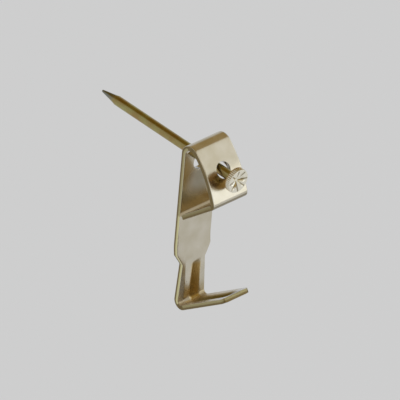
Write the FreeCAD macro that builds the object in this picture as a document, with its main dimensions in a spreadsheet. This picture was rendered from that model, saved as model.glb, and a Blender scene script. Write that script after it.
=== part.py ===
import FreeCAD, Part
import math
import os
import Sketcher
from FreeCAD import Placement, Rotation, Vector

# Picture hook: a folded strip of plated sheet steel and the nail that fixes it to a wall.
# Frame: the wall is the plane Y = 0, the front is -Y, +Z is up and X runs across the strip.
# The origin is where the nail's axis meets the wall plane.

doc = FreeCAD.newDocument("picture_hook")
sizes = doc.addObject("Spreadsheet::Sheet", "sizes")

# Driving sizes in millimetres and degrees; depths and heights are measured from the nail's axis
SIZES = {
    # folded strip
    "strip_thick": 1.0,
    "strip_width": 8.9,
    "stem_width": 6.0,
    "plate_top": 2.2,
    "top_inside": 1.5,
    "flap_curve": 20.0,
    "flap_slope": 67.0,
    "flap_flat": 1.6,
    "flap_reach": 9.5,
    "fold_inside": 0.4,
    "leg_slope": 40.0,
    "leg_gap": 0.35,
    "step_start": 19.0,
    "step_curve": 14.0,
    "shoulder_start": 21.7,
    "shoulder_end": 24.2,
    "stem_end": 32.2,
    "foot_width": 7.1,
    "foot_inside": 0.75,
    "prong_rise": 34.8,
    "prong_long": 13.2,
    "tip_corner": 0.8,
    # pressed groove
    "groove_depth": 0.5,
    "groove_half": 1.75,
    "groove_start": 25.2,
    "groove_run": 10.4,
    # nail and the holes that it passes
    "nail_radius": 1.0,
    "nail_back": 27.5,
    "nail_point": 4.3,
    "point_flat": 0.25,
    "head_radius": 2.55,
    "head_front": 11.7,
    "head_thick": 1.15,
    "neck_flare": 0.35,
    "dish_depth": 0.65,
    "rim_wall": 0.2,
    "dish_floor": 0.36,
    "plate_hole_half": 1.85,
    "flap_hole_half": 1.7,
    "seat_gap": 0.02,
}
for row, (name, value) in enumerate(SIZES.items(), start=1):
    sizes.set(f"A{row}", name)
    sizes.set(f"B{row}", str(value))
    sizes.setAlias(f"B{row}", name)
doc.recompute()


def size(name):
    return float(sizes.get(name))


def cells(formula):
    """The formula with each size's name written as a cell of the sheet."""
    for name in SIZES:
        formula = formula.replace(name, f"sizes.{name}")
    return formula


def sketch_on(body, name, role, base=(), turn=None):
    """A sketch on an origin plane of the body, moved by base and turned about its own x axis."""
    made = body.newObject("Sketcher::SketchObject", name)
    made.AttachmentSupport = [([f for f in body.Origin.OriginFeatures if f.Role == role][0], "")]
    made.MapMode = "FlatFace"
    if turn is not None:
        made.AttachmentOffset = Placement(Vector(0, 0, 0), Rotation(Vector(1, 0, 0), 45))
        made.setExpression(".AttachmentOffset.Rotation.Angle", cells(turn))
    for axis, formula in zip("xyz", base):
        if formula:
            made.setExpression(f".AttachmentOffset.Base.{axis}", cells(formula))
    return made


def bind(sketch, name, formula, kind, *where):
    """A constraint whose value follows a formula of the sheet's sizes."""
    number = sketch.addConstraint(Sketcher.Constraint(kind, *where))
    sketch.renameConstraint(number, name)
    sketch.setExpression(f"Constraints.{name}", cells(formula))


def polygon(sketch, corners, name):
    """A closed outline of straight lines whose corners follow pairs of formulas."""
    first = sketch.GeometryCount
    count = len(corners)
    ring = [Vector(math.cos(6.28 * i / count), math.sin(6.28 * i / count), 0) for i in range(count)]
    for i in range(count):
        sketch.addGeometry(Part.LineSegment(ring[i], ring[(i + 1) % count]), False)
    for i in range(count):
        sketch.addConstraint(Sketcher.Constraint("Coincident", first + i, 2, first + (i + 1) % count, 1))
    for i, (across, up) in enumerate(corners):
        bind(sketch, f"{name}_x{i}", across, "DistanceX", -1, 1, first + i, 1, ring[i].x)
        bind(sketch, f"{name}_y{i}", up, "DistanceY", -1, 1, first + i, 1, ring[i].y)


def arc(sketch, centre, radius, start_deg, end_deg):
    circle = Part.Circle(centre, Vector(0, 0, 1), radius)
    made = Part.ArcOfCircle(circle, math.radians(start_deg), math.radians(end_deg))
    return sketch.addGeometry(made, False)


def line(sketch, here, there):
    return sketch.addGeometry(Part.LineSegment(here, there), False)


def polar(degrees, radius):
    return Vector(math.cos(math.radians(degrees)), math.sin(math.radians(degrees)), 0) * radius


# Depths from the wall plane and heights that several features share, as formulas
HALF = "(strip_thick / 2)"
STEM_MID = "(strip_thick / 2 + groove_depth)"
FOOT_MID = "(foot_inside + strip_thick / 2)"
TOP_MID = "(top_inside + strip_thick / 2)"
FOLD_MID = "(fold_inside + strip_thick / 2)"
PRONG_FRONT = f"({STEM_MID} + {FOOT_MID} * (1 + sin(prong_rise)))"
PRONG_BASE = f"(-stem_end - {FOOT_MID} * cos(prong_rise))"
GROOVE_CURVE = "((groove_half ^ 2 + groove_depth ^ 2) / (2 * groove_depth))"
RIB_CURVE = f"({GROOVE_CURVE} + strip_thick)"
RIB_HALF = f"sqrt({RIB_CURVE} ^ 2 - ({RIB_CURVE} - groove_depth) ^ 2)"

half = size("strip_thick") / 2
stem_mid = half + size("groove_depth")
foot_mid = size("foot_inside") + half
top_mid = size("top_inside") + half
fold_mid = size("fold_inside") + half
rise, slope, leg = size("prong_rise"), size("flap_slope"), size("leg_slope")

strip = doc.addObject("PartDesign::Body", "hanger_strip")
strip.Label = "hanger_strip"

# Middle line of the strip seen from the side: prong, foot, stem, step, plate, top bend, flap, fold, leg
path = sketch_on(strip, "strip_path", "YZ_Plane")
foot_centre = Vector(-stem_mid - foot_mid, -size("stem_end"), 0)
prong_start = foot_centre + polar(-90 - rise, foot_mid)
prong_tip = prong_start + polar(180 - rise, size("prong_long"))
foot_end = foot_centre + polar(0, foot_mid)
step = size("step_curve")
step_turn = math.degrees(math.acos(1 - size("groove_depth") / (2 * step)))
step_high = Vector(-half, -size("step_start"), 0)
step_mid = step_high - polar(0, step) + polar(-step_turn, step)
step_low_centre = step_mid - polar(180 - step_turn, step)
step_low = step_low_centre + polar(180, step)
plate_end = Vector(-half, size("plate_top"), 0)
top_centre = plate_end - polar(0, top_mid)
curve = size("flap_curve")
flap_sin = math.sin(math.radians(slope))
flap_cos = math.cos(math.radians(slope))
reach_left = half + top_mid + curve * flap_sin + size("flap_flat") * flap_cos - size("flap_reach")
roof = math.degrees(math.asin(reach_left / (curve - top_mid)))
roof_end = top_centre + polar(90 + roof, top_mid)
flap_centre = roof_end - polar(90 + roof, curve)
flap_end = flap_centre + polar(90 + slope, curve)
fold_start = flap_end + polar(180 + slope, size("flap_flat"))
fold_centre = fold_start - polar(90 + slope, fold_mid)
leg_start = fold_centre + polar(270 - leg, fold_mid)
leg_depth = 2 * half + size("leg_gap") + half * math.sin(math.radians(leg))
leg_end = leg_start + polar(-leg, (-leg_depth - leg_start.x) / math.cos(math.radians(leg)))

g_prong = line(path, prong_start, prong_tip)
g_foot = arc(path, foot_centre, foot_mid, -90 - rise, 0)
g_stem = line(path, foot_end, step_low)
g_low = arc(path, step_low_centre, step, 180 - step_turn, 180)
g_high = arc(path, step_high - polar(0, step), step, -step_turn, 0)
g_plate = line(path, step_high, plate_end)
g_top = arc(path, top_centre, top_mid, 0, 90 + roof)
g_flap = arc(path, flap_centre, curve, 90 + roof, 90 + slope)
g_flat = line(path, fold_start, flap_end)
g_fold = arc(path, fold_centre, fold_mid, 90 + slope, 270 - leg)
g_leg = line(path, leg_end, leg_start)
tangent_pairs = [
    (g_prong, 1, g_foot, 1),
    (g_foot, 2, g_stem, 1),
    (g_stem, 2, g_low, 2),
    (g_low, 1, g_high, 1),
    (g_high, 2, g_plate, 1),
    (g_plate, 2, g_top, 1),
    (g_top, 2, g_flap, 1),
    (g_flap, 2, g_flat, 2),
    (g_flat, 1, g_fold, 1),
    (g_fold, 2, g_leg, 2),
]
for pair in tangent_pairs:
    path.addConstraint(Sketcher.Constraint("Tangent", *pair))
path.addConstraint(Sketcher.Constraint("Vertical", g_stem))
path.addConstraint(Sketcher.Constraint("Vertical", g_plate))
path.addConstraint(Sketcher.Constraint("Equal", g_low, g_high))
bind(path, "foot_radius", FOOT_MID, "Radius", g_foot, foot_mid)
bind(path, "step_radius", "step_curve", "Radius", g_high, step)
bind(path, "top_radius", TOP_MID, "Radius", g_top, top_mid)
bind(path, "flap_radius", "flap_curve", "Radius", g_flap, curve)
bind(path, "fold_radius", FOLD_MID, "Radius", g_fold, fold_mid)
bind(path, "plate_depth", f"-{HALF}", "DistanceX", -1, 1, g_plate, 2, -half)
bind(path, "plate_height", "plate_top", "DistanceY", -1, 1, g_plate, 2, size("plate_top"))
bind(path, "step_height", "-step_start", "DistanceY", -1, 1, g_plate, 1, -size("step_start"))
bind(path, "stem_depth", f"-{STEM_MID}", "DistanceX", -1, 1, g_stem, 1, -stem_mid)
bind(path, "stem_height", "-stem_end", "DistanceY", -1, 1, g_stem, 1, -size("stem_end"))
bind(path, "prong_angle", "(180 - prong_rise) * 1 deg", "Angle", g_prong, math.radians(180 - rise))
bind(path, "prong_length", "prong_long", "Distance", g_prong, size("prong_long"))
bind(path, "flap_angle", "flap_slope * 1 deg", "Angle", g_flat, math.radians(slope))
bind(path, "flap_length", "flap_flat", "Distance", g_flat, size("flap_flat"))
bind(path, "flap_depth", "-flap_reach", "DistanceX", -1, 1, g_flat, 1, -size("flap_reach"))
bind(path, "leg_angle", "(180 - leg_slope) * 1 deg", "Angle", g_leg, math.radians(180 - leg))
leg_formula = f"-(strip_thick + leg_gap + {HALF} * sin(leg_slope))"
bind(path, "leg_depth", leg_formula, "DistanceX", -1, 1, g_leg, 1, -leg_depth)

# Strip: its cross-section, square to the prong at the tip, swept along the middle line
tip_depth = f"-({PRONG_FRONT} + prong_long * cos(prong_rise))"
tip = ("", tip_depth, f"{PRONG_BASE} + prong_long * sin(prong_rise)")
cross = sketch_on(strip, "strip_section", "XY_Plane", tip, "90 - prong_rise")
wide = "(strip_width / 2)"
outline = [
    (f"-{wide}", f"-{HALF}"),
    (wide, f"-{HALF}"),
    (wide, HALF),
    (f"-{wide}", HALF),
]
polygon(cross, outline, "corner")
doc.recompute()
sheet = strip.newObject("PartDesign::AdditivePipe", "bent_strip")
sheet.Profile = cross
sheet.Spine = (path, [f"Edge{i}" for i in range(1, 12)])
sheet.Mode = "Standard"
doc.recompute()


def cut(name, profile, length, both_ways=False, reverse=False):
    """A pocket of the strip, through a given length on one side of its sketch or on both."""
    made = strip.newObject("PartDesign::Pocket", name)
    made.Profile = profile
    made.SideType = "Symmetric" if both_ways else "One side"
    made.Reversed = reverse
    made.setExpression("Length", cells(length))
    return made


# Below sloping shoulders the stem is narrower than the plate and widens again towards the foot
outside = "strip_width"
narrow = "(stem_width / 2)"
foot_half = "(foot_width / 2)"
below = f"({PRONG_BASE} - strip_width)"
bend_depth = f"({STEM_MID} + {FOOT_MID})"
stem_outline = sketch_on(strip, "stem_side_cuts", "XZ_Plane")
prong_outline = sketch_on(strip, "prong_side_cuts", "XZ_Plane", ("", "", bend_depth))
for name, way in (("right", ""), ("left", "-")):
    stem_corners = [
        (f"{way}{wide}", "-shoulder_start"),
        (f"{way}{narrow}", "-shoulder_end"),
        (f"{way}{foot_half}", "-stem_end"),
        (f"{way}{foot_half}", below),
        (f"{way}{outside}", below),
        (f"{way}{outside}", "-shoulder_start"),
    ]
    polygon(stem_outline, stem_corners, name)
    prong_corners = [
        (f"{way}{foot_half}", "-step_start"),
        (f"{way}{foot_half}", below),
        (f"{way}{outside}", below),
        (f"{way}{outside}", "-step_start"),
    ]
    polygon(prong_outline, prong_corners, name)
doc.recompute()
cut("stem_sides", stem_outline, f"2 * {bend_depth}", both_ways=True)
doc.recompute()
cut("prong_sides", prong_outline, "2 * prong_long", reverse=True)
doc.recompute()

# Prong: both corners of its end are rounded off, cut square to the prong's faces
corner_cuts = sketch_on(strip, "tip_corner_cuts", "XY_Plane", tip, "-prong_rise")
corner_now = size("tip_corner")
for name, way, sign in (("right", 1, ""), ("left", -1, "-")):
    inner_x = way * (size("foot_width") / 2 - corner_now)
    centre = Vector(inner_x, corner_now, 0)
    end_point = Vector(inner_x, 0, 0)
    side_point = Vector(inner_x + way * corner_now, corner_now, 0)
    out_point = Vector(inner_x + way * corner_now, -corner_now, 0)
    low_point = Vector(inner_x, -corner_now, 0)
    bow = arc(corner_cuts, centre, corner_now, 270 if way > 0 else 180, 360 if way > 0 else 270)
    end_at, side_at = (1, 2) if way > 0 else (2, 1)
    upright = line(corner_cuts, side_point, out_point)
    level = line(corner_cuts, out_point, low_point)
    back_up = line(corner_cuts, low_point, end_point)
    corner_cuts.addConstraint(Sketcher.Constraint("Coincident", bow, side_at, upright, 1))
    corner_cuts.addConstraint(Sketcher.Constraint("Coincident", upright, 2, level, 1))
    corner_cuts.addConstraint(Sketcher.Constraint("Coincident", level, 2, back_up, 1))
    corner_cuts.addConstraint(Sketcher.Constraint("Coincident", back_up, 2, bow, end_at))
    corner_cuts.addConstraint(Sketcher.Constraint("Vertical", upright))
    corner_cuts.addConstraint(Sketcher.Constraint("Vertical", back_up))
    corner_cuts.addConstraint(Sketcher.Constraint("Horizontal", level))
    corner_cuts.addConstraint(Sketcher.Constraint("Vertical", bow, 3, bow, end_at))
    corner_cuts.addConstraint(Sketcher.Constraint("Horizontal", bow, 3, bow, side_at))
    inner_formula = f"{sign}({foot_half} - tip_corner)"
    bind(corner_cuts, f"{name}_across", inner_formula, "DistanceX", -1, 1, bow, 3, inner_x)
    bind(corner_cuts, f"{name}_from_end", "tip_corner", "DistanceY", -1, 1, bow, 3, corner_now)
    bind(corner_cuts, f"{name}_radius", "tip_corner", "Radius", bow, corner_now)
    bind(corner_cuts, f"{name}_past", "-tip_corner", "DistanceY", -1, 1, upright, 2, -corner_now)
doc.recompute()
cut("tip_corners", corner_cuts, "4 * strip_thick", both_ways=True)
doc.recompute()

# Pressed groove in the stem, round the foot and along the prong, with its rib on the other face
run = size("groove_run")
groove_path = sketch_on(strip, "groove_path", "YZ_Plane")
g_run = line(groove_path, prong_start, prong_start + polar(180 - rise, run))
g_turn = arc(groove_path, foot_centre, foot_mid, -90 - rise, 0)
g_rest = line(groove_path, foot_end, Vector(-stem_mid, -size("groove_start"), 0))
groove_path.addConstraint(Sketcher.Constraint("Tangent", g_run, 1, g_turn, 1))
groove_path.addConstraint(Sketcher.Constraint("Tangent", g_turn, 2, g_rest, 1))
groove_path.addConstraint(Sketcher.Constraint("Vertical", g_rest))
bind(groove_path, "turn_radius", FOOT_MID, "Radius", g_turn, foot_mid)
bind(groove_path, "stem_depth", f"-{STEM_MID}", "DistanceX", -1, 1, g_rest, 1, -stem_mid)
bind(groove_path, "stem_height", "-stem_end", "DistanceY", -1, 1, g_rest, 1, -size("stem_end"))
bind(groove_path, "groove_height", "-groove_start", "DistanceY", -1, 1, g_rest, 2, -size("groove_start"))
bind(groove_path, "run_angle", "(180 - prong_rise) * 1 deg", "Angle", g_run, math.radians(180 - rise))
bind(groove_path, "run_length", "groove_run", "Distance", g_run, run)
run_depth = f"-({PRONG_FRONT} + groove_run * cos(prong_rise))"
run_end = ("", run_depth, f"{PRONG_BASE} + groove_run * sin(prong_rise)")
stem_top = ("", f"-{STEM_MID}", "-groove_start")
depth, groove_half = size("groove_depth"), size("groove_half")
groove_curve = (groove_half ** 2 + depth ** 2) / (2 * depth)
rib_curve = groove_curve + 2 * half
rib_half = math.sqrt(rib_curve ** 2 - (rib_curve - depth) ** 2)
# Each section is an arc standing out of one face of the strip and a straight part that backs it
GROOVE_FORMULAS = (GROOVE_CURVE, "groove_half", HALF, f"{HALF} + strip_thick / 8")
GROOVE = GROOVE_FORMULAS + (groove_curve, groove_half, half, half * 1.25)
RIB_FORMULAS = (RIB_CURVE, RIB_HALF, f"-{HALF}", f"-{HALF} / 2")
RIB = RIB_FORMULAS + (rib_curve, rib_half, -half, -half / 2)


def section(name, base, turn, shape, whole):
    """A whole section for sweeping, or half of it for turning about the middle of the groove."""
    radius, reach, face, back, radius_now, reach_now, face_now, back_now = shape
    made = sketch_on(strip, name, "XY_Plane", base, turn)
    centre = Vector(0, face_now + math.sqrt(radius_now ** 2 - reach_now ** 2), 0)
    lean = math.degrees(math.asin(reach_now / radius_now))
    bow = arc(made, centre, radius_now, 270 - lean if whole else 270, 270 + lean)
    left = -reach_now if whole else 0
    foot = face_now if whole else centre.y - radius_now
    up = line(made, Vector(reach_now, face_now, 0), Vector(reach_now, back_now, 0))
    over = line(made, Vector(reach_now, back_now, 0), Vector(left, back_now, 0))
    down = line(made, Vector(left, back_now, 0), Vector(left, foot, 0))
    for here, there in ((up, over), (over, down)):
        made.addConstraint(Sketcher.Constraint("Coincident", here, 2, there, 1))
    made.addConstraint(Sketcher.Constraint("Coincident", bow, 2, up, 1))
    made.addConstraint(Sketcher.Constraint("Coincident", down, 2, bow, 1))
    made.addConstraint(Sketcher.Constraint("Vertical", up))
    made.addConstraint(Sketcher.Constraint("Vertical", down))
    made.addConstraint(Sketcher.Constraint("Horizontal", over))
    made.addConstraint(Sketcher.Constraint("PointOnObject", bow, 3, -2))
    if whole:
        made.addConstraint(Sketcher.Constraint("Horizontal", bow, 1, bow, 2))
    else:
        made.addConstraint(Sketcher.Constraint("PointOnObject", bow, 1, -2))
    bind(made, "bow_half", reach, "DistanceX", -1, 1, bow, 2, reach_now)
    bind(made, "bow_face", face, "DistanceY", -1, 1, bow, 2, face_now)
    bind(made, "bow_radius", radius, "Radius", bow, radius_now)
    bind(made, "back_height", back, "DistanceY", -1, 1, up, 2, back_now)
    return made


def swept(kind, name, profile):
    made = strip.newObject(kind, name)
    made.Profile = profile
    made.Spine = (groove_path, ["Edge1", "Edge2", "Edge3"])
    made.Mode = "Standard"
    doc.recompute()
    return made


def turned(kind, name, profile, reverse):
    made = strip.newObject(kind, name)
    made.Profile = profile
    made.ReferenceAxis = (profile, ["V_Axis"])
    made.Angle = 180
    made.Reversed = reverse
    doc.recompute()
    return made


square = "90 - prong_rise"
rib_section = section("rib_section", run_end, square, RIB, True)
swept("PartDesign::AdditivePipe", "rib", rib_section)
rib_front = section("rib_front_half", run_end, square, RIB, False)
turned("PartDesign::Revolution", "rib_front_end", rib_front, True)
rib_top = section("rib_top_half", stem_top, "180", RIB, False)
turned("PartDesign::Revolution", "rib_top_end", rib_top, False)
groove_section = section("groove_section", run_end, square, GROOVE, True)
swept("PartDesign::SubtractivePipe", "groove", groove_section)
groove_front = section("groove_front_half", run_end, square, GROOVE, False)
turned("PartDesign::Groove", "groove_front_end", groove_front, True)
groove_top = section("groove_top_half", stem_top, "180", GROOVE, False)
turned("PartDesign::Groove", "groove_top_end", groove_top, False)

# Punched nail holes: the shank lies at the top of the plate's hole and at the bottom of the flap's
plate_hole = sketch_on(strip, "plate_hole_circle", "XZ_Plane")
hole_drop = "-(plate_hole_half - nail_radius - seat_gap)"
hole_now = size("plate_hole_half")
plate_hole.addGeometry(Part.Circle(Vector(0, -0.5, 0), Vector(0, 0, 1), hole_now), False)
plate_hole.addConstraint(Sketcher.Constraint("PointOnObject", 0, 3, -2))
bind(plate_hole, "hole_height", hole_drop, "DistanceY", -1, 1, 0, 3, -0.5)
bind(plate_hole, "hole_size", "plate_hole_half", "Radius", 0, hole_now)
doc.recompute()
cut("plate_hole", plate_hole, "3 * strip_thick", both_ways=True)
doc.recompute()

# The flap's hole is square to its curved face, so its axis runs through the centre of that curve
roof_sin = f"((strip_thick / 2 + {TOP_MID} + flap_curve * sin(flap_slope) + flap_flat * cos(flap_slope)"
roof_sin = f"({roof_sin} - flap_reach) / (flap_curve - {TOP_MID})))"
roof_cos = f"sqrt(1 - {roof_sin} ^ 2)"
curve_depth = f"({HALF} + {TOP_MID} - (flap_curve - {TOP_MID}) * {roof_sin})"
curve_height = f"(plate_top - (flap_curve - {TOP_MID}) * {roof_cos})"
outer = "(flap_curve + strip_thick / 2)"
low_edge = f"(-nail_radius - seat_gap - {curve_height})"
tilt = f"(asin({low_edge} / sqrt({outer} ^ 2 + flap_hole_half ^ 2)) + atan(flap_hole_half / {outer}))"
hole_base = ("", f"{curve_height} + {outer} * sin({tilt})", f"{curve_depth} + {outer} * cos({tilt})")
flap_hole = sketch_on(strip, "flap_hole_circle", "XZ_Plane", hole_base, f"-{tilt}")
flap_hole.addGeometry(Part.Circle(Vector(0, 0, 0), Vector(0, 0, 1), size("flap_hole_half")), False)
flap_hole.addConstraint(Sketcher.Constraint("Coincident", 0, 3, -1, 1))
bind(flap_hole, "hole_size", "flap_hole_half", "Radius", 0, size("flap_hole_half"))
doc.recompute()
cut("flap_hole", flap_hole, "4 * strip_thick", both_ways=True)
doc.recompute()

# Nail: a turned shank with its point, neck and head disc, and a dish pressed in rays into the head
nail = doc.addObject("PartDesign::Body", "nail")
nail.Label = "nail"
profile = sketch_on(nail, "nail_profile", "YZ_Plane")
under = "(head_thick - head_front)"
outline = [
    ("nail_back", "0"),
    ("nail_back", "point_flat"),
    ("nail_back - nail_point", "nail_radius"),
    (f"{under} + neck_flare", "nail_radius"),
    (under, "nail_radius + neck_flare"),
    (under, "head_radius"),
    ("-head_front", "head_radius"),
    ("-head_front", "0"),
]
polygon(profile, outline, "profile")
doc.recompute()
turning = nail.newObject("PartDesign::Revolution", "shank_and_head")
turning.Profile = profile
turning.ReferenceAxis = (profile, ["H_Axis"])
turning.Angle = 360
doc.recompute()
RAYS = 8
RAY_WAIST = 0.74
dish_ends = [
    ("dish_mouth_star", "head_front", "(head_radius - rim_wall)"),
    ("dish_floor_star", "head_front - dish_depth", "dish_floor"),
]
stars = []
for name, depth_at, reach in dish_ends:
    star = sketch_on(nail, name, "XZ_Plane", ("", "", depth_at))
    corners = []
    for i in range(2 * RAYS):
        radius = f"{reach} * {1 if i % 2 == 0 else RAY_WAIST}"
        angle = 180 * i / RAYS
        corners.append((f"{radius} * cos({angle})", f"{radius} * sin({angle})"))
    polygon(star, corners, "ray")
    stars.append(star)
doc.recompute()
dish = nail.newObject("PartDesign::SubtractiveLoft", "ray_dish")
dish.Profile = stars[0]
dish.Sections = [stars[1]]
dish.Ruled = True
doc.recompute()

# Every feature must have been made before anything is written
for made in doc.Objects:
    if any(word in made.State for word in ("Invalid", "Error")):
        raise RuntimeError(f"{made.Name} was not made: {made.State}")
os.makedirs("parts", exist_ok=True)
for body in (strip, nail):
    if body.Shape.isNull() or not body.Shape.isValid() or len(body.Shape.Solids) != 1:
        raise RuntimeError(f"{body.Label} is not one valid solid")
for body in (strip, nail):
    body.Shape.exportStep(f"parts/{body.Label}.step")
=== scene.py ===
import math

import bmesh
import bpy
from mathutils import Matrix, Vector


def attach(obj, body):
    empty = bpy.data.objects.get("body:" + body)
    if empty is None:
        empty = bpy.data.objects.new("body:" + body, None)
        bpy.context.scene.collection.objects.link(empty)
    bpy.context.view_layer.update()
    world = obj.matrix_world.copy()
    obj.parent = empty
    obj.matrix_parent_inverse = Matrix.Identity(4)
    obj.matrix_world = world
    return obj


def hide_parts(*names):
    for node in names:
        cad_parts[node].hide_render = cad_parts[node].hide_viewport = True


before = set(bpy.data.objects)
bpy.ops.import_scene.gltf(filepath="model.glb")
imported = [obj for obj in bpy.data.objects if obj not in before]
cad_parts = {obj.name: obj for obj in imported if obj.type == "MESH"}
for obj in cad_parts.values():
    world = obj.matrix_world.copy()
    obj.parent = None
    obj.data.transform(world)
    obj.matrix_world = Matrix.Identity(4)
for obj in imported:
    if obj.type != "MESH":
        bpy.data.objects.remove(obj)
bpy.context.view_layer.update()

MM = 0.001

# Hanger strip
# One length of pale brass-plated sheet steel, blanked to its outline, pressed with a stiffening groove
# and folded in a press into prong, stem, back plate, nail loop and return leg.
THICK = 1.0 * MM
PLATE_HALF = 4.45 * MM
STEM_HALF = 3.0 * MM
EDGE_ROUND = 0.11 * MM
SHOULDER_TOP = -21.7 * MM
SHOULDER_END = -24.2 * MM
STEM_END = -32.2 * MM
FOOT_HALF = 3.55 * MM
GROOVE_DEPTH = 0.5 * MM
GROOVE_HALF = 2.0 * MM
GROOVE_FLOOR = 0.08
GROOVE_TOP = -25.2 * MM
GROOVE_RUN = 10.4 * MM
PRONG_LONG = 13.2 * MM
PRONG_RISE = 34.8
TIP_CORNER = 0.8 * MM
FOOT_BEND = 1.25 * MM
STEP_START = -19.0 * MM
STEP_BEND = 14.0 * MM
PLATE_TOP = 2.2 * MM
TOP_BEND = 2.0 * MM
FLAP_BEND = 20.0 * MM
FLAP_SLOPE = 67.0
FLAP_FLAT = 1.6 * MM
FLAP_REACH = 9.5 * MM
FOLD_BEND = 0.9 * MM
LEG_SLOPE = 40.0
LEG_GAP = 0.35 * MM
PLATE_HOLE = 1.85 * MM
FLAP_HOLE = 1.7 * MM
SHANK = 1.0 * MM
SEAT_GAP = 0.02 * MM


def polar(degrees, radius):
    """A step of that length in the side view, where x is the frame's Y and y its Z."""
    turn = math.radians(degrees)
    return Vector((math.cos(turn), math.sin(turn))) * radius


# Centres and ends of the strip's bends in the side view
half = THICK / 2
foot = Vector((-half - GROOVE_DEPTH - FOOT_BEND, STEM_END))
prong_foot = foot + polar(-90 - PRONG_RISE, FOOT_BEND)
prong_way = polar(180 - PRONG_RISE, 1.0)
prong_tip = prong_foot + prong_way * PRONG_LONG
step_turn = math.degrees(math.acos(1 - GROOVE_DEPTH / (2 * STEP_BEND)))
step_top = Vector((-half, STEP_START))
step_high = step_top - polar(0, STEP_BEND)
step_low = step_high + polar(-step_turn, 2 * STEP_BEND)
plate_top = Vector((-half, PLATE_TOP))
top = plate_top - polar(0, TOP_BEND)
slope = math.radians(FLAP_SLOPE)
flap_run = FLAP_BEND * math.sin(slope) + FLAP_FLAT * math.cos(slope)
roof = math.degrees(math.asin((half + TOP_BEND + flap_run - FLAP_REACH) / (FLAP_BEND - TOP_BEND)))
flap = top - polar(90 + roof, FLAP_BEND - TOP_BEND)
flap_end = flap + polar(90 + FLAP_SLOPE, FLAP_BEND)
fold_start = flap_end + polar(180 + FLAP_SLOPE, FLAP_FLAT)
fold = fold_start - polar(90 + FLAP_SLOPE, FOLD_BEND)
leg_start = fold + polar(270 - LEG_SLOPE, FOLD_BEND)
leg_y = -THICK - LEG_GAP - half * math.sin(math.radians(LEG_SLOPE))
leg_end = leg_start + polar(-LEG_SLOPE, (leg_y - leg_start.x) / math.cos(math.radians(LEG_SLOPE)))

middle = []


def straight(here, there, pitch):
    """Points of the strip's middle line from here up to there, each with the inner side's direction."""
    run = there - here
    inner = Vector((-run.y, run.x)).normalized()
    count = max(1, round(run.length / pitch))
    for i in range(count):
        middle.append((here + run * (i / count), inner))


def bend(centre, radius, start, end, pitch):
    """Points of the strip's middle line round a bend, from one angle to another."""
    count = max(4, round(math.radians(abs(end - start)) * radius / pitch))
    for i in range(count):
        out = polar(start + (end - start) * i / count, 1.0)
        middle.append((centre + out * radius, -out if end > start else out))


# Points along the strip, from the prong's end to the return leg's, closer together in the tighter bends
TIP_STEPS = 9
FLAT_PITCH = 0.4 * MM
GENTLE_PITCH = 0.3 * MM
STEP_PITCH = 0.25 * MM
TOP_PITCH = 0.16 * MM
FOOT_PITCH = 0.12 * MM
FOLD_PITCH = 0.1 * MM
tip_end = prong_tip
for i in range(1, TIP_STEPS + 1):
    next_end = prong_tip - prong_way * TIP_CORNER * (1 - math.cos(math.radians(90 * i / TIP_STEPS)))
    straight(tip_end, next_end, TIP_CORNER)
    tip_end = next_end
straight(tip_end, prong_foot, GENTLE_PITCH)
bend(foot, FOOT_BEND, -90 - PRONG_RISE, 0, FOOT_PITCH)
straight(foot + polar(0, FOOT_BEND), step_low + polar(180, STEP_BEND), GENTLE_PITCH)
bend(step_low, STEP_BEND, 180, 180 - step_turn, STEP_PITCH)
bend(step_high, STEP_BEND, -step_turn, 0, STEP_PITCH)
straight(step_top, plate_top, FLAT_PITCH)
bend(top, TOP_BEND, 0, 90 + roof, TOP_PITCH)
bend(flap, FLAP_BEND, 90 + roof, 90 + FLAP_SLOPE, GENTLE_PITCH)
straight(flap_end, fold_start, GENTLE_PITCH)
bend(fold, FOLD_BEND, 90 + FLAP_SLOPE, 270 - LEG_SLOPE, FOLD_PITCH)
straight(leg_start, leg_end, FLAT_PITCH)
middle.append((leg_end, middle[-1][1]))


def plate_half(height):
    """Half the strip's width: the plate's, down sloping shoulders to a neck that flares to the foot."""
    if height > SHOULDER_END:
        share = (height - SHOULDER_END) / (SHOULDER_TOP - SHOULDER_END)
        return STEM_HALF + (PLATE_HALF - STEM_HALF) * min(share, 1.0)
    share = (SHOULDER_END - height) / (SHOULDER_END - STEM_END)
    return STEM_HALF + (FOOT_HALF - STEM_HALF) * min(share, 1.0)


def prong_half(from_tip):
    """Half the prong's width, with the corners of its end rounded off."""
    short = min(max(TIP_CORNER - from_tip, 0.0), TIP_CORNER)
    return FOOT_HALF - TIP_CORNER + math.sqrt(TIP_CORNER ** 2 - short ** 2)


def store(mesh, name, values):
    """A point attribute of numbers or of vectors."""
    if isinstance(values[0], float):
        layer = mesh.attributes.new(name, "FLOAT", "POINT")
        layer.data.foreach_set("value", values)
    else:
        layer = mesh.attributes.new(name, "FLOAT_VECTOR", "POINT")
        layer.data.foreach_set("vector", [number for vector in values for number in vector])


def line_mesh(name, points, closed=False):
    """A mesh of points joined by edges, one after the other."""
    mesh = bpy.data.meshes.new(name)
    last = len(points) if closed else len(points) - 1
    mesh.from_pydata(points, [(i, (i + 1) % len(points)) for i in range(last)], [])
    return mesh


def linked(name, mesh):
    """A new object in the scene, at the origin."""
    made = bpy.data.objects.new(name, mesh)
    bpy.context.scene.collection.objects.link(made)
    return made


strip_line = line_mesh("hanger_strip_line", [(0, point.x, point.y) for point, inner in middle])

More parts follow.
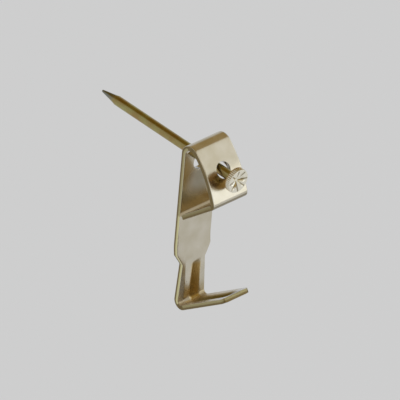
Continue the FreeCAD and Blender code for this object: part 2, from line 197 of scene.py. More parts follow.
# What each point of the middle line carries: the strip's half width, how far it lies past the groove,
# and marks there: burnish, back of the loop, painted shade in the fold's crease and along the groove
# in the foot and prong, wear and cut end
PRONG_BURNISH = 0.4
LOOP_BURNISH = 0.5
LEG_BURNISH = 0.22
# Painted shade along the groove in the foot and prong: its share at the foot, growing to full along the
# prong
PRONG_SHADE_AT_FOOT = 0.75
PRONG_SHADE_RUN = 5.0 * MM
TIP_WEAR = 3.0 * MM
END_DEPTH = 0.005 * MM
columns = []
for point, inner in middle:
    from_foot = (point - prong_foot).dot(prong_way)
    from_tip = PRONG_LONG - from_foot
    on_prong = point.x < foot.x and from_foot > 0 and point.y < STEP_START
    on_plate = point.x > -THICK - GROOVE_DEPTH
    on_fold = (point - fold).length < FOLD_BEND + SEAT_GAP and point.x < fold.x
    on_leg = not on_plate and STEP_START < point.y <= leg_start.y
    above_leg = point.y > leg_end.y
    bent = min(max((foot.x - point.x) / FOOT_BEND + 0.5, 0.0), 1.0)
    past_foot = bent * (point.y < STEM_END or on_prong)
    deeper = PRONG_SHADE_AT_FOOT + (1 - PRONG_SHADE_AT_FOOT) * min(max(from_foot / PRONG_SHADE_RUN, 0.0), 1.0)
    columns.append(
        {
            "half_width": prong_half(from_tip) if on_prong else plate_half(point.y),
            "past_groove": max(from_foot - GROOVE_RUN if on_prong else point.y - GROOVE_TOP, 0.0),
            "burnish": (
                PRONG_BURNISH * on_prong
                + LEG_BURNISH * on_leg
                + (LOOP_BURNISH if above_leg else 1.0) * (on_plate and not on_prong)
            ),
            "loop_back": float(on_plate and above_leg),
            "creased": float(on_fold and point.y < fold.y),
            "stained": past_foot * deeper,
            "tip_wear": max(1 - from_tip / TIP_WEAR, 0.0) if on_prong else 0.0,
            "end_cut": float(on_prong and from_tip < END_DEPTH),
        }
    )
for name in columns[0]:
    store(strip_line, name, [values[name] for values in columns])
store(strip_line, "inner", [(0.0, inner.x, inner.y) for point, inner in middle])

# The section's ring of points: two faces with fine steps, and a rounded corner at each of their ends
FACE_STEPS = 36
CORNER_STEPS = 4
ring = []
for face in (1, -1):
    for i in range(1, FACE_STEPS):
        ring.append((face * (1 - 2 * i / FACE_STEPS), 0.0, face * half, 0.0))
    for side in (1, -1):
        for i in range(CORNER_STEPS + 1):
            share = i / CORNER_STEPS if side == 1 else 1 - i / CORNER_STEPS
            lean = polar(90 * (1 - share), EDGE_ROUND)
            ring.append((-face, -face * lean.x, side * face * (half - EDGE_ROUND + lean.y), share))
ring_points = [(place * PLATE_HALF + bulge, lift, 0) for place, bulge, lift, cut in ring]
section = line_mesh("hanger_strip_section", ring_points, closed=True)
for column, name in enumerate(("share", "bulge", "lift", "cut_edge")):
    store(section, name, [float(values[column]) for values in ring])
section_piece = linked("hanger_strip_section", section)


def add(tree, kind, inputs=(), **settings):
    """A node with its settings and inputs; an input is a value or another node's output."""
    made = tree.nodes.new(kind)
    for name, value in settings.items():
        setattr(made, name, value)
    for key, value in dict(inputs).items():
        if isinstance(value, bpy.types.NodeSocket):
            tree.links.new(value, made.inputs[key])
        else:
            made.inputs[key].default_value = value
    return made


def maths(tree, operation, a, b=0.0):
    """The result of one maths node."""
    return add(tree, "ShaderNodeMath", {0: a, 1: b}, operation=operation).outputs[0]


def times(tree, *factors):
    """The product of two or more numbers."""
    product = factors[0]
    for factor in factors[1:]:
        product = maths(tree, "MULTIPLY", product, factor)
    return product


def ramp(tree, value, start, end, low=0.0, high=1.0, smooth=False):
    """The value's place between start and end, as a number between low and high."""
    inputs = {"Value": value, "From Min": start, "From Max": end, "To Min": low, "To Max": high}
    kind = "SMOOTHSTEP" if smooth else "LINEAR"
    return add(tree, "ShaderNodeMapRange", inputs, interpolation_type=kind).outputs[0]


def blend(tree, share, first, second):
    """A colour between two others."""
    made = add(tree, "ShaderNodeMix", data_type="RGBA")
    colours = [socket for socket in made.inputs if socket.type == "RGBA"]
    for socket, value in zip([made.inputs[0]] + colours, (share, first, second)):
        if isinstance(value, bpy.types.NodeSocket):
            tree.links.new(value, socket)
        else:
            socket.default_value = value
    return [socket for socket in made.outputs if socket.type == "RGBA"][0]


def noise(tree, place, scale, detail, stretch=None):
    """Noise at a place, drawn out along the axes whose stretch is small."""
    if stretch:
        place = add(tree, "ShaderNodeMapping", {"Vector": place, "Scale": stretch}).outputs[0]
    made = add(tree, "ShaderNodeTexNoise", {"Vector": place, "Scale": scale, "Detail": detail})
    return made.outputs["Fac"]


def carried(tree, name):
    """A number that the mesh carries at its points."""
    return add(tree, "ShaderNodeAttribute", attribute_name=name).outputs["Fac"]


def new_material(name):
    """An empty material and its node tree."""
    made = bpy.data.materials.new(name)
    made.use_nodes = True
    made.node_tree.nodes.clear()
    return made, made.node_tree


# Plating of the strip: rolling lines along it, cloudy tint, a few specks, corners worn and lighter as a
# painted highlight, painted shade in the loop, foot, groove and fold, haze, and darker sheared edges
PALE_PLATE = (0.76, 0.71, 0.60, 1)
OLIVE_PLATE = (0.64, 0.585, 0.45, 1)
# Lighter corner tone: partly wear, partly a painted highlight
WORN_AND_LIT_CORNER = (0.78, 0.74, 0.60, 1)
SPECK = (0.12, 0.09, 0.05, 1)
# Brown for painted shade low inside the loop and in the foot's bend
PAINTED_SHADE_BROWN = (0.47, 0.34, 0.14, 1)
# Gold tone for painted shade on the groove's right wall
RIGHT_WALL_SHADE = (0.78, 0.605, 0.30, 1)
# Dark matt tone for painted shade along the groove in the foot and prong
PRONG_GROOVE_SHADE = (0.185, 0.12, 0.024, 1)
WORN_TIP = (0.68, 0.68, 0.68, 1)
# Dark tone for painted shade in the fold's crease
FOLD_SHADE = (0.33, 0.29, 0.20, 1)
SHEARED = (0.28, 0.21, 0.10, 1)
SHEARED_DARK = (0.20, 0.15, 0.06, 1)
BURNISHED = (0.80, 0.75, 0.42, 1)
ROLLING_SCALE = 9000.0
ROLLING_STRETCH = (1.0, 0.04, 0.04)
CLOUD_SCALE = 260.0
GRAIN_SCALE = 4200.0
SOFT = (0.3, 0.7)
CRISP = (0.35, 0.65)
strip_plating, shade = new_material("pale_brass_plating")
place = add(shade, "ShaderNodeTexCoord").outputs["Object"]
apart = add(shade, "ShaderNodeSeparateXYZ", {"Vector": place}).outputs
rolled = noise(shade, place, ROLLING_SCALE, 4.0, ROLLING_STRETCH)
clouds = noise(shade, place, CLOUD_SCALE, 5.0)
grain = noise(shade, place, GRAIN_SCALE, 3.0)

# Which part of the sheet a point lies on: its cut edge, the rounded corner of that, or the inner face
CUT = (0.45, 0.95)
CORNER_RISE = (0.02, 0.3)
CORNER_FALL = (0.8, 0.4)
INNER = (0.2 * half, 0.8 * half)
cut_edge = maths(shade, "MAXIMUM", carried(shade, "cut_edge"), carried(shade, "end_cut"))
sheared = ramp(shade, cut_edge, *CUT)
corner = times(shade, ramp(shade, cut_edge, *CORNER_RISE), ramp(shade, cut_edge, *CORNER_FALL))
lift = carried(shade, "lift")
inner_side = ramp(shade, lift, *INNER)
loop_back = times(shade, carried(shade, "loop_back"), inner_side)

# Rolled faces, worn and lighter at their corners as wear and a painted highlight, with a few dark specks
SPECK_SCALE = 210.0
SPECK_SIZE = 0.03
face_tint = blend(shade, ramp(shade, clouds, *SOFT), OLIVE_PLATE, PALE_PLATE)
face_tint = blend(shade, times(shade, corner, ramp(shade, clouds, *CRISP)), face_tint, WORN_AND_LIT_CORNER)
dots = add(shade, "ShaderNodeTexVoronoi", {"Vector": place, "Scale": SPECK_SCALE})
speck = ramp(shade, dots.outputs["Distance"], SPECK_SIZE, SPECK_SIZE / 2)
face_tint = blend(shade, speck, face_tint, SPECK)

# Painted brown shade low inside the nail loop and in the foot's bend, and painted shade in gold on the
# groove's right wall
LOOP_SHADE = 0.6
LOOP_SHADE_TOP = -6.0 * MM
LOOP_SHADE_LOW = -10.0 * MM
FOOT_SHADE = 0.55
FOOT_SHADE_TOP = STEM_END + 3.0 * MM
RIGHT_WALL_SIDE = 0.3 * MM
RIGHT_WALL_EDGE = 2.1 * MM
RIGHT_WALL_FULL = 1.7 * MM
RIGHT_WALL_END = 0.5 * MM
in_loop = ramp(shade, apart["Z"], LOOP_SHADE_TOP, LOOP_SHADE_LOW, 0.0, LOOP_SHADE)
in_foot = ramp(shade, apart["Z"], FOOT_SHADE_TOP, STEM_END, 0.0, FOOT_SHADE, smooth=True)
loop_and_foot_shade = maths(shade, "ADD", times(shade, loop_back, in_loop), times(shade, in_foot, inner_side))
face_tint = blend(shade, loop_and_foot_shade, face_tint, PAINTED_SHADE_BROWN)
off_middle = maths(shade, "ABSOLUTE", apart["X"])
right_wall_share = times(
    shade,
    ramp(shade, apart["X"], -RIGHT_WALL_SIDE, RIGHT_WALL_SIDE),
    ramp(shade, off_middle, RIGHT_WALL_EDGE, RIGHT_WALL_FULL),
    ramp(shade, apart["Z"], GROOVE_TOP + RIGHT_WALL_END, GROOVE_TOP - RIGHT_WALL_END),
    inner_side,
)
face_tint = blend(shade, right_wall_share, face_tint, RIGHT_WALL_SHADE)

# Dull haze on the plate inside the loop and on the flanges beside the groove
HAZE_SPOT = (0.8 * MM, -1.0 * MM, -5.2 * MM)
HAZE_EDGE = 5.2 * MM
HAZE_FULL = 1.5 * MM
FLANGE_HAZE = 0.3
FLANGE_EDGE = 1.8 * MM
FLANGE_FULL = 2.3 * MM
FLANGE_FADE = 2.0 * MM
from_spot = add(shade, "ShaderNodeVectorMath", {0: place, 1: HAZE_SPOT}, operation="DISTANCE")
loop_haze = ramp(shade, from_spot.outputs["Value"], HAZE_EDGE, HAZE_FULL, smooth=True)
flange_haze = times(
    shade,
    ramp(shade, off_middle, FLANGE_EDGE, FLANGE_FULL),
    inner_side,
    ramp(shade, apart["Z"], GROOVE_TOP, GROOVE_TOP - FLANGE_FADE, 0.0, FLANGE_HAZE),
)
haze = maths(shade, "MAXIMUM", times(shade, loop_back, loop_haze), flange_haze)

# Matt dark painted shade with ragged sides along the groove in the foot and prong, an end worn grey,
# and painted shade in the fold's crease
PRONG_SHADE_EDGE = 2.5 * MM
PRONG_SHADE_FULL = 0.9 * MM
PRONG_SHADE_RAGGED = 0.25 * MM
TIP_GREY = 0.7
ragged = maths(shade, "ADD", off_middle, ramp(shade, clouds, *SOFT, -PRONG_SHADE_RAGGED, PRONG_SHADE_RAGGED))
in_groove = ramp(shade, ragged, PRONG_SHADE_EDGE, PRONG_SHADE_FULL, smooth=True)
prong_shade = times(shade, carried(shade, "stained"), inner_side, in_groove)
face_tint = blend(shade, prong_shade, face_tint, PRONG_GROOVE_SHADE)
face_tint = blend(shade, ramp(shade, carried(shade, "tip_wear"), 0.0, TIP_GREY), face_tint, WORN_TIP)
face_tint = blend(shade, carried(shade, "creased"), face_tint, FOLD_SHADE)

# Sheared edges, burnished by the die towards the inner face
BURNISH = (-0.3 * half, 0.2 * half)
edge_tint = blend(shade, ramp(shade, grain, *CRISP), SHEARED_DARK, SHEARED)
burnished = times(shade, carried(shade, "burnish"), ramp(shade, lift, *BURNISH))
edge_tint = blend(shade, burnished, edge_tint, BURNISHED)
colour = blend(shade, sheared, face_tint, edge_tint)

# Gloss and relief: the rolled faces are bright, and duller in the clouds, on cut edges and down the stem
ROLLED_BRIGHT = 0.14
ROLLED_DULL = 0.22
CLOUD_DULL = 0.06
CLOUD_BAND = (0.4, 0.75)
EDGE_DULL = 0.2
FOOT_DULL = 0.08
MATT_SHEEN = 0.0
ROLLED_RELIEF = 0.5
gloss = ramp(shade, rolled, *SOFT, ROLLED_BRIGHT, ROLLED_DULL)
for dull in (
    ramp(shade, clouds, *CLOUD_BAND, 0.0, CLOUD_DULL),
    ramp(shade, cut_edge, *CUT, 0.0, EDGE_DULL),
    ramp(shade, apart["Z"], GROOVE_TOP, STEM_END, 0.0, FOOT_DULL),
):
    gloss = maths(shade, "ADD", gloss, dull)
height = maths(shade, "ADD", times(shade, rolled, ROLLED_RELIEF), times(shade, grain, sheared))
relief = add(shade, "ShaderNodeBump", {"Height": height, "Strength": 0.1, "Distance": 0.03 * MM})
bare_metal = maths(shade, "SUBTRACT", 1.0, maths(shade, "MAXIMUM", haze, prong_shade))
surface = add(
    shade,
    "ShaderNodeBsdfPrincipled",
    {
        "Base Color": colour,
        "Roughness": gloss,
        "Metallic": bare_metal,
        "Specular IOR Level": MATT_SHEEN,
        "Normal": relief.outputs[0],
    },
)
add(shade, "ShaderNodeOutputMaterial", {"Surface": surface.outputs[0]})


def new_tree(name, inputs):
    """A tree of geometry nodes with named inputs; gives the tree and the outputs of its input node."""
    tree = bpy.data.node_groups.new(name, "GeometryNodeTree")
    tree.interface.new_socket("Geometry", in_out="INPUT", socket_type="NodeSocketGeometry")
    for label, kind in inputs:
        tree.interface.new_socket(label, in_out="INPUT", socket_type=f"NodeSocket{kind}")
    tree.interface.new_socket("Geometry", in_out="OUTPUT", socket_type="NodeSocketGeometry")
    return tree, tree.nodes.new("NodeGroupInput").outputs


def named(tree, name, kind="FLOAT"):
    """A named attribute of the geometry."""
    made = add(tree, "GeometryNodeInputNamedAttribute", {"Name": name}, data_type=kind)
    return made.outputs["Attribute"]


def finish_tree(tree, geometry, material):
    """The end of a tree: plain geometry with its material."""
    real = add(tree, "GeometryNodeRealizeInstances", {"Geometry": geometry})
    coated = add(tree, "GeometryNodeSetMaterial", {"Geometry": real.outputs[0], "Material": material})
    add(tree, "NodeGroupOutput", {"Geometry": coated.outputs[0]})


def use_tree(piece, tree, values):
    """The tree as a modifier of the piece, with its inputs set by their identifiers."""
    maker = piece.modifiers.new(tree.name, "NODES")
    maker.node_group = tree
    for socket in tree.interface.items_tree:
        if socket.in_out == "INPUT" and socket.name in values:
            maker[socket.identifier] = values[socket.name]


# Tree that sweeps the section along the middle line, narrows it and presses the groove, whose end is
# rounder the smaller its power
GROOVE_POWER = 4.0
sweep, given = new_tree(
    "folded_strip",
    [
        ("Section", "Object"),
        ("Edge Round", "Float"),
        ("Groove Half", "Float"),
        ("Groove Floor", "Float"),
        ("Groove Depth", "Float"),
        ("Plating", "Material"),
    ],
)
kept = add(
    sweep,
    "GeometryNodeStoreNamedAttribute",
    {"Geometry": given["Geometry"], "Name": "middle"},
    data_type="FLOAT_VECTOR",
    domain="POINT",
)
sweep.links.new(add(sweep, "GeometryNodeInputPosition").outputs[0], kept.inputs["Value"])
line = add(sweep, "GeometryNodeMeshToCurve", {"Mesh": kept.outputs[0]})
outline = add(sweep, "GeometryNodeObjectInfo", {"Object": given["Section"]})
outline_curve = add(sweep, "GeometryNodeMeshToCurve", {"Mesh": outline.outputs["Geometry"]})
tube = add(
    sweep,
    "GeometryNodeCurveToMesh",
    {"Curve": line.outputs[0], "Profile Curve": outline_curve.outputs[0], "Fill Caps": True},
)
flat_half = maths(sweep, "SUBTRACT", named(sweep, "half_width"), given["Edge Round"])
flat_half = maths(sweep, "MAXIMUM", flat_half)
across = times(sweep, named(sweep, "share"), flat_half)
across = maths(sweep, "ADD", across, named(sweep, "bulge"))
past_end = maths(sweep, "POWER", named(sweep, "past_groove"), GROOVE_POWER)
aside = maths(sweep, "POWER", maths(sweep, "ABSOLUTE", across), GROOVE_POWER)
away = maths(sweep, "POWER", maths(sweep, "ADD", aside, past_end), 1 / GROOVE_POWER)
away = maths(sweep, "DIVIDE", away, given["Groove Half"])
sunk = times(sweep, ramp(sweep, away, 1.0, given["Groove Floor"]), given["Groove Depth"])
rise = maths(sweep, "SUBTRACT", named(sweep, "lift"), sunk)
inner_way = named(sweep, "inner", "FLOAT_VECTOR")
raised = add(sweep, "ShaderNodeVectorMath", {0: inner_way}, operation="SCALE")
sweep.links.new(rise, raised.inputs["Scale"])
sideways = add(sweep, "ShaderNodeCombineXYZ", {"X": across}).outputs[0]
moved = named(sweep, "middle", "FLOAT_VECTOR")
for part_way in (raised.outputs[0], sideways):
    moved = add(sweep, "ShaderNodeVectorMath", {0: moved, 1: part_way}, operation="ADD").outputs[0]
shaped = add(sweep, "GeometryNodeSetPosition", {"Geometry": tube.outputs[0], "Position": moved})
finish_tree(sweep, shaped.outputs[0], given["Plating"])

strip = linked("hanger_strip_sheet", strip_line)
strip_inputs = {
    "Section": section_piece,
    "Edge Round": EDGE_ROUND,
    "Groove Half": GROOVE_HALF,
    "Groove Floor": GROOVE_FLOOR,
    "Groove Depth": GROOVE_DEPTH,
    "Plating": strip_plating,
}
use_tree(strip, sweep, strip_inputs)


def lathe(name, profile, centre, axis, steps):
    """A closed round piece: pairs of distance along the axis and radius, turned about the axis."""
    turn = Vector((0, 0, 1)).rotation_difference(axis).to_matrix()
    points = []
    for far, radius in profile:
        for i in range(steps):
            a = 2 * math.pi * i / steps
            points.append(centre + turn @ Vector((radius * math.cos(a), radius * math.sin(a), far)))
    faces = []
    for row in range(len(profile) - 1):
        low = row * steps
        high = low + steps
        for i in range(steps):
            j = (i + 1) % steps
            faces.append((low + i, low + j, high + j, high + i))
    faces.append(tuple(range(steps))[::-1])
    faces.append(tuple((len(profile) - 1) * steps + i for i in range(steps)))
    mesh = bpy.data.meshes.new(name)
    mesh.from_pydata(points, [], faces)
    return linked(name, mesh)


# Punched holes, whose rims the punch has drawn in a little on both faces: pairs of distance from the
# sheet's middle and how much wider the hole is there
HOLE_RIM = ((0.4 * MM, 0.0), (0.47 * MM, 0.015 * MM), (0.5 * MM, 0.05 * MM), (1.5 * MM, 0.2 * MM))
HOLE_STEPS = 64
hole_low = -SHANK - SEAT_GAP - flap.y
flap_outer = FLAP_BEND + half
hole_tilt = math.asin(hole_low / math.hypot(flap_outer, FLAP_HOLE)) + math.atan(FLAP_HOLE / flap_outer)
flap_way = Vector((0, -math.cos(hole_tilt), math.sin(hole_tilt)))
plate_hole_at = Vector((0, -half, SHANK + SEAT_GAP - PLATE_HOLE))
flap_hole_at = Vector((0, flap.x, flap.y)) + flap_way * FLAP_BEND
rim = [(-far, wider) for far, wider in reversed(HOLE_RIM)] + list(HOLE_RIM)
cutters = []
for name, centre, axis, radius in (
    ("plate_hole", plate_hole_at, Vector((0, -1, 0)), PLATE_HOLE),
    ("flap_hole", flap_hole_at, flap_way, FLAP_HOLE),
):
    profile = [(far, radius + wider) for far, wider in rim]
    punch = lathe(name, profile, centre, axis, HOLE_STEPS)
    store(punch.data, "cut_edge", [1.0] * len(punch.data.vertices))
    cutter = strip.modifiers.new(name, "BOOLEAN")
    cutter.operation = "DIFFERENCE"
    cutter.solver = "EXACT"
    cutter.object = punch
    cutters.append(punch)


def make_plain(piece, material, sharp):
    """The evaluated piece as a plain mesh with its normals outwards and edges past an angle sharp."""
    bpy.context.view_layer.update()
    mesh = bpy.data.meshes.new_from_object(piece.evaluated_get(bpy.context.evaluated_depsgraph_get()))
    piece.modifiers.clear()
    piece.data = mesh
    edited = bmesh.new()
    edited.from_mesh(mesh)
    bmesh.ops.recalc_face_normals(edited, faces=edited.faces)
    edited.to_mesh(mesh)
    edited.free()
    mesh.materials.clear()
    mesh.materials.append(material)
    mesh.shade_smooth()
    mesh.set_sharp_from_angle(angle=math.radians(sharp))


SHARP_EDGE = 32.0
make_plain(strip, strip_plating, SHARP_EDGE)
for spare in cutters + [section_piece]:
    bpy.data.objects.remove(spare)
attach(strip, "root")
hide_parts("hanger_strip")

# Nail
# A nail of drawn steel wire with brass plating: its point is pinched to four flats, and its head is
# upset, knurled round the rim and pressed with a dish of rays. It hangs in the strip's two holes.
NAIL_BACK = 27.5 * MM
NAIL_POINT = 4.3 * MM
POINT_FLAT = 0.25 * MM
HEAD = 2.55 * MM
HEAD_FRONT = -11.7 * MM
HEAD_THICK = 1.15 * MM
NECK_FLARE = 0.35 * MM
DISH_DEPTH = 0.65 * MM
RIM_WALL = 0.2 * MM
DISH_FLOOR = 0.36 * MM
RAYS = 8
RAY_WAIST = 0.74
RIDGE = 1.3
KNURLS = 40
KNURL_DEPTH = 0.035
PINCH = 0.55
ROUND_STEPS = 320

rows = []


def add_row(along, reach, pinch=0.0, knurl=0.0, ray=0.0, ridge=0.0):
    """A row of the nail: its place along the axis, its radius, and its share of each pressed form."""
    rows.append((along, reach, pinch, knurl, ray, ridge))


# Rows from the nail's point to the middle of its head
TIP_ROUND = 0.06 * MM
POINT_SWELL = 0.85
PINCH_FADE = 0.5
RIM_ROUND = 0.16 * MM
POINT_STEPS = 16
SHANK_STEPS = 30
NECK_STEPS = 6
RIM_STEPS = 5
DISH_STEPS = 14
under = HEAD_FRONT + HEAD_THICK
point_start = NAIL_BACK - TIP_ROUND
shank_start = NAIL_BACK - NAIL_POINT
shank_long = shank_start - under - NECK_FLARE
add_row(NAIL_BACK, POINT_FLAT / 2, PINCH)
add_row(point_start, POINT_FLAT, PINCH)
for i in range(1, POINT_STEPS + 1):
    share = i / POINT_STEPS
    swell = POINT_FLAT + (SHANK - POINT_FLAT) * share ** POINT_SWELL
    along = point_start - (NAIL_POINT - TIP_ROUND) * share
    add_row(along, swell, PINCH * (1 - share) ** PINCH_FADE)
for i in range(1, SHANK_STEPS + 1):
    add_row(shank_start - shank_long * i / SHANK_STEPS, SHANK)
for i in range(1, NECK_STEPS + 1):
    lean = math.radians(90 * i / NECK_STEPS)
    out = SHANK + NECK_FLARE * (1 - math.cos(lean))
    add_row(under + NECK_FLARE * (1 - math.sin(lean)), out)
for i in range(RIM_STEPS + 1):
    lean = math.radians(90 * i / RIM_STEPS)
    out = HEAD - RIM_ROUND * (1 - math.sin(lean))
    add_row(under - RIM_ROUND * math.cos(lean), out, knurl=math.sin(lean))
for i in range(RIM_STEPS + 1):
    lean = math.radians(90 * i / RIM_STEPS)
    out = HEAD - RIM_ROUND * (1 - math.cos(lean))
    add_row(HEAD_FRONT + RIM_ROUND * (1 - math.sin(lean)), out, knurl=math.cos(lean))
for i in range(DISH_STEPS + 1):
    share = i / DISH_STEPS
    out = HEAD - RIM_WALL + (DISH_FLOOR - HEAD + RIM_WALL) * share
    depth = DISH_DEPTH * share
    add_row(HEAD_FRONT + depth, out, ray=1.0, ridge=RIDGE * depth * (1 - share))
nail_line = line_mesh("nail_line", [(0, -i * MM, 0) for i in range(len(rows))])
for column, name in enumerate(("along", "reach", "pinch", "knurl", "ray", "ridge")):
    store(nail_line, name, [float(values[column]) for values in rows])

# Plating of the nail: drawing lines along the wire, brown blotches, the shank painted dark as shade and
# the head painted pale as light, darker in the valleys of its rays and knurls, painted brown shade on
# the head's back, and a bare grey point
# The shank's tones are painted dark as shade and the head's tone pale as light, though both are one
# plating
WIRE_PALE = (0.42, 0.39, 0.165, 1)
WIRE_BROWN = (0.38, 0.26, 0.10, 1)
HEAD_PAINTED_LIGHT = (0.98, 0.94, 0.80, 1)
# Darker tone in the valleys of the rays and between the knurls
HEAD_VALLEY_DARK = (0.26, 0.20, 0.10, 1)
# Brown for painted shade on the head's back and neck, also seen in its reflection in the flap
HEAD_BACK_SHADE = (0.52, 0.35, 0.14, 1)
BARE_STEEL = (0.26, 0.27, 0.23, 1)
DRAWING_SCALE = 7000.0
DRAWING_STRETCH = (1.0, 0.015, 1.0)
BLOTCH_SCALE = 330.0
WIDE = (0.2, 0.8)
VALLEY_DARK_BAND = (0.66, 1.0)
HEAD_START = under - 0.1 * MM
HEAD_FULL = under - 0.4 * MM
BARE_START = NAIL_BACK - 0.95 * NAIL_POINT
BARE_FULL = NAIL_BACK - 0.65 * NAIL_POINT
BARE_RAGGED = 1.0 * MM
WIRE_BRIGHT = 0.14
WIRE_DULL = 0.26
BLOTCH_DULL = 0.08
BLOTCH_BAND = (0.4, 0.7)
nail_plating, shade = new_material("drawn_wire_plating")
place = add(shade, "ShaderNodeTexCoord").outputs["Object"]
apart = add(shade, "ShaderNodeSeparateXYZ", {"Vector": place}).outputs
drawn = noise(shade, place, DRAWING_SCALE, 4.0, DRAWING_STRETCH)
blotch = noise(shade, place, BLOTCH_SCALE, 5.0)
colour = blend(shade, ramp(shade, blotch, *CRISP), WIRE_BROWN, WIRE_PALE)
colour = blend(shade, ramp(shade, apart["Y"], under + NECK_FLARE, under), colour, HEAD_BACK_SHADE)
head_tint = blend(shade, ramp(shade, carried(shade, "grime"), *VALLEY_DARK_BAND), HEAD_PAINTED_LIGHT, HEAD_VALLEY_DARK)
colour = blend(shade, ramp(shade, apart["Y"], HEAD_START, HEAD_FULL), colour, head_tint)
ragged = maths(shade, "ADD", apart["Y"], ramp(shade, blotch, *WIDE, -BARE_RAGGED, BARE_RAGGED))
colour = blend(shade, ramp(shade, ragged, BARE_START, BARE_FULL), colour, BARE_STEEL)
gloss = ramp(shade, drawn, *SOFT, WIRE_BRIGHT, WIRE_DULL)
gloss = maths(shade, "ADD", gloss, ramp(shade, blotch, *BLOTCH_BAND, 0.0, BLOTCH_DULL))
relief = add(shade, "ShaderNodeBump", {"Height": drawn, "Strength": 0.12, "Distance": 0.03 * MM})
surface = add(
    shade,
    "ShaderNodeBsdfPrincipled",
    {"Base Color": colour, "Roughness": gloss, "Metallic": 1.0, "Normal": relief.outputs[0]},
)
add(shade, "ShaderNodeOutputMaterial", {"Surface": surface.outputs[0]})

# Tree that turns the rows about the nail's axis and shapes the point, the knurls and the rays
turning, given = new_tree(
    "turned_nail",
    [
        ("Round Steps", "Int"),
        ("Rays", "Float"),
        ("Ray Waist", "Float"),
        ("Knurls", "Float"),
        ("Knurl Depth", "Float"),
        ("Plating", "Material"),
    ],
)
line = add(turning, "GeometryNodeMeshToCurve", {"Mesh": given["Geometry"]})
circle = add(turning, "GeometryNodeCurvePrimitiveCircle", {"Resolution": given["Round Steps"]})
count = add(turning, "GeometryNodeInputIndex").outputs[0]
angle = times(turning, maths(turning, "DIVIDE", count, given["Round Steps"]), 2 * math.pi)
marked = add(
    turning,
    "GeometryNodeStoreNamedAttribute",
    {"Geometry": circle.outputs[0], "Name": "turn", "Value": angle},
    data_type="FLOAT",
    domain="POINT",
)
tube = add(
    turning,
    "GeometryNodeCurveToMesh",
    {"Curve": line.outputs[0], "Profile Curve": marked.outputs[0], "Fill Caps": True},
)
turn = named(turning, "turn")
cosine = maths(turning, "COSINE", turn)
sine = maths(turning, "SINE", turn)
flats = maths(turning, "ADD", maths(turning, "ABSOLUTE", cosine), maths(turning, "ABSOLUTE", sine))
flats = maths(turning, "SUBTRACT", 1.0, maths(turning, "DIVIDE", 1.0, flats))
flats = times(turning, flats, named(turning, "pinch"))
ray_turn = maths(turning, "DIVIDE", times(turning, turn, given["Rays"]), 2 * math.pi)
ray_side = times(turning, maths(turning, "PINGPONG", ray_turn, 0.5), 2.0)
waist = maths(turning, "SUBTRACT", 1.0, given["Ray Waist"])
waist = times(turning, ray_side, waist, named(turning, "ray"))
ridge = times(turning, ray_side, named(turning, "ridge"))
valley = times(turning, maths(turning, "SUBTRACT", 1.0, ray_side), named(turning, "ray"))
notch = maths(turning, "COSINE", times(turning, turn, given["Knurls"]))
notch = times(turning, ramp(turning, notch, -1.0, 1.0), named(turning, "knurl"))
# Marks the valleys of the rays and between the knurls for a darker tone
valley_marked = add(
    turning,
    "GeometryNodeStoreNamedAttribute",
    {"Geometry": tube.outputs[0], "Name": "grime", "Value": maths(turning, "MAXIMUM", valley, notch)},
    data_type="FLOAT",
    domain="POINT",
)
notch = times(turning, notch, given["Knurl Depth"])
out = named(turning, "reach")
for less in (flats, waist, notch):
    out = times(turning, out, maths(turning, "SUBTRACT", 1.0, less))
spot = add(
    turning,
    "ShaderNodeCombineXYZ",
    {
        "X": times(turning, out, cosine),
        "Y": maths(turning, "SUBTRACT", named(turning, "along"), ridge),
        "Z": times(turning, out, sine),
    },
)
moved = spot.outputs[0]
shaped = add(turning, "GeometryNodeSetPosition", {"Geometry": valley_marked.outputs[0], "Position": moved})
finish_tree(turning, shaped.outputs[0], given["Plating"])

nail = linked("nail_with_ray_head", nail_line)
nail_inputs = {
    "Round Steps": ROUND_STEPS,
    "Rays": float(RAYS),
    "Ray Waist": RAY_WAIST,
    "Knurls": float(KNURLS),
    "Knurl Depth": KNURL_DEPTH,
    "Plating": nail_plating,
}
use_tree(nail, turning, nail_inputs)
make_plain(nail, nail_plating, SHARP_EDGE)
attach(nail, "root")
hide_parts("nail")

# Floor
# A plain pale floor below the hook, which shows the same pale grey to the camera and in the metal.
FLOOR_Z = -0.09
FLOOR_REACH = 4.0
PALE = (0.617, 0.617, 0.617, 1)
PLAIN_SHARE = 0.85
PLAIN_LEVEL = 1.07
corners = [(-1, -1), (1, -1), (1, 1), (-1, 1)]
floor_mesh = bpy.data.meshes.new("floor")
floor_points = [(x * FLOOR_REACH, y * FLOOR_REACH, FLOOR_Z) for x, y in corners]
floor_mesh.from_pydata(floor_points, [], [(0, 1, 2, 3)])
floor = linked("floor", floor_mesh)
paper, shade = new_material("pale_floor")
rays = add(shade, "ShaderNodeLightPath").outputs
seen = maths(shade, "ADD", rays["Is Camera Ray"], rays["Is Glossy Ray"])
seen = maths(shade, "ADD", seen, rays["Is Transmission Ray"])
matt = add(shade, "ShaderNodeBsdfDiffuse", {"Color": PALE})
plain = add(shade, "ShaderNodeEmission", {"Color": PALE, "Strength": PLAIN_LEVEL})
share = times(shade, seen, PLAIN_SHARE)
both = add(shade, "ShaderNodeMixShader", {"Fac": share, 1: matt.outputs[0], 2: plain.outputs[0]})
add(shade, "ShaderNodeOutputMaterial", {"Surface": both.outputs[0]})
floor_mesh.materials.append(paper)

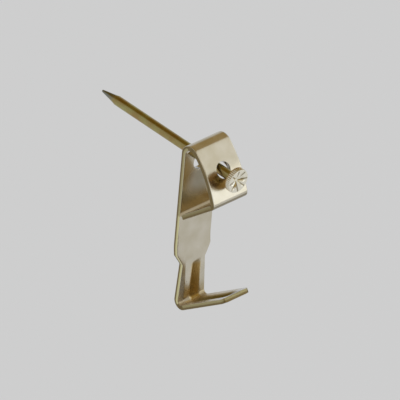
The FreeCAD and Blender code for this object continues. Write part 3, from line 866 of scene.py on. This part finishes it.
# Light
# A pale room whose ceiling is brown and dim in the metal, and three soft lamps from the front.
CEILING_LEFT = (0.28, 0.185, 0.035, 1)
CEILING_RIGHT = (0.38, 0.275, 0.115, 1)
CEILING_RISE = (0.15, 0.5)
CEILING_LEFT_END = (-0.65, -0.3)
CEILING_RIGHT_END = (0.75, 0.6)
CEILING_TURN = (0.25, 0.6)
WORLD_LEVEL = 0.9
world = bpy.data.worlds.new("studio")
bpy.context.scene.world = world
world.use_nodes = True
shade = world.node_tree
shade.nodes.clear()
way = add(shade, "ShaderNodeTexCoord").outputs["Generated"]
apart = add(shade, "ShaderNodeSeparateXYZ", {"Vector": way}).outputs
glossy = add(shade, "ShaderNodeLightPath").outputs["Is Glossy Ray"]
dim = times(
    shade,
    glossy,
    ramp(shade, apart["Z"], *CEILING_RISE, smooth=True),
    ramp(shade, apart["X"], *CEILING_LEFT_END, smooth=True),
    ramp(shade, apart["X"], *CEILING_RIGHT_END, smooth=True),
)
ceiling = blend(shade, ramp(shade, apart["X"], *CEILING_TURN), CEILING_LEFT, CEILING_RIGHT)
room = blend(shade, dim, PALE, ceiling)
sky = add(shade, "ShaderNodeBackground", {"Color": room, "Strength": WORLD_LEVEL})
add(shade, "ShaderNodeOutputWorld", {"Surface": sky.outputs[0]})
for name, where, size, power, tint in (
    ("front_right_softbox", (0.38, -0.52, 0.07), 0.30, 0.20, (0.96, 1.0, 1.0)),
    ("high_right_softbox", (0.39, -0.33, 0.40), 0.44, 0.31, (0.86, 1.0, 1.15)),
    ("front_left_softbox", (-0.45, -0.45, 0.55), 0.25, 0.12, (1.0, 1.0, 1.0)),
):
    lamp = bpy.data.lights.new(name, "AREA")
    lamp.color = tint
    lamp.size = size
    lamp.energy = power
    lamp_piece = linked(name, lamp)
    lamp_piece.location = where
    lamp_piece.rotation_euler = (-Vector(where)).to_track_quat("-Z", "Y").to_euler()
    lamp_piece.visible_camera = False

# Camera
# It looks down on the hook's front from its left, from far away and rolled a little, as the photograph
# does.
AZIMUTH = math.radians(-45.4)
ELEVATION = math.radians(34.0)
ROLL = math.radians(5.0)
DISTANCE = 3.0
PIXELS_WIDE = 400
PIXELS_PER_MM = 5.15
FRAME_WIDTH = PIXELS_WIDE / PIXELS_PER_MM * MM
LOOK_RIGHT = 1.223 * MM
LOOK_DOWN = 8.811 * MM
right = Vector((math.cos(AZIMUTH), math.sin(AZIMUTH), 0))
level = Vector((math.sin(AZIMUTH), -math.cos(AZIMUTH), 0))
back = level * math.cos(ELEVATION) + Vector((0, 0, math.sin(ELEVATION)))
up = back.cross(right)
look_at = right * LOOK_RIGHT - up * LOOK_DOWN
camera_x = right * math.cos(ROLL) + up * math.sin(ROLL)
camera_y = up * math.cos(ROLL) - right * math.sin(ROLL)
camera = bpy.data.cameras.new("camera")
camera.sensor_width = 36.0
camera.lens = camera.sensor_width * DISTANCE / FRAME_WIDTH
camera.clip_start = 0.01
camera.clip_end = 20.0
camera_piece = linked("camera", camera)
facing = Matrix((camera_x, camera_y, back)).transposed()
camera_piece.matrix_world = Matrix.Translation(look_at + back * DISTANCE) @ facing.to_4x4()
bpy.context.scene.camera = camera_piece
bpy.context.scene.view_settings.view_transform = "Standard"
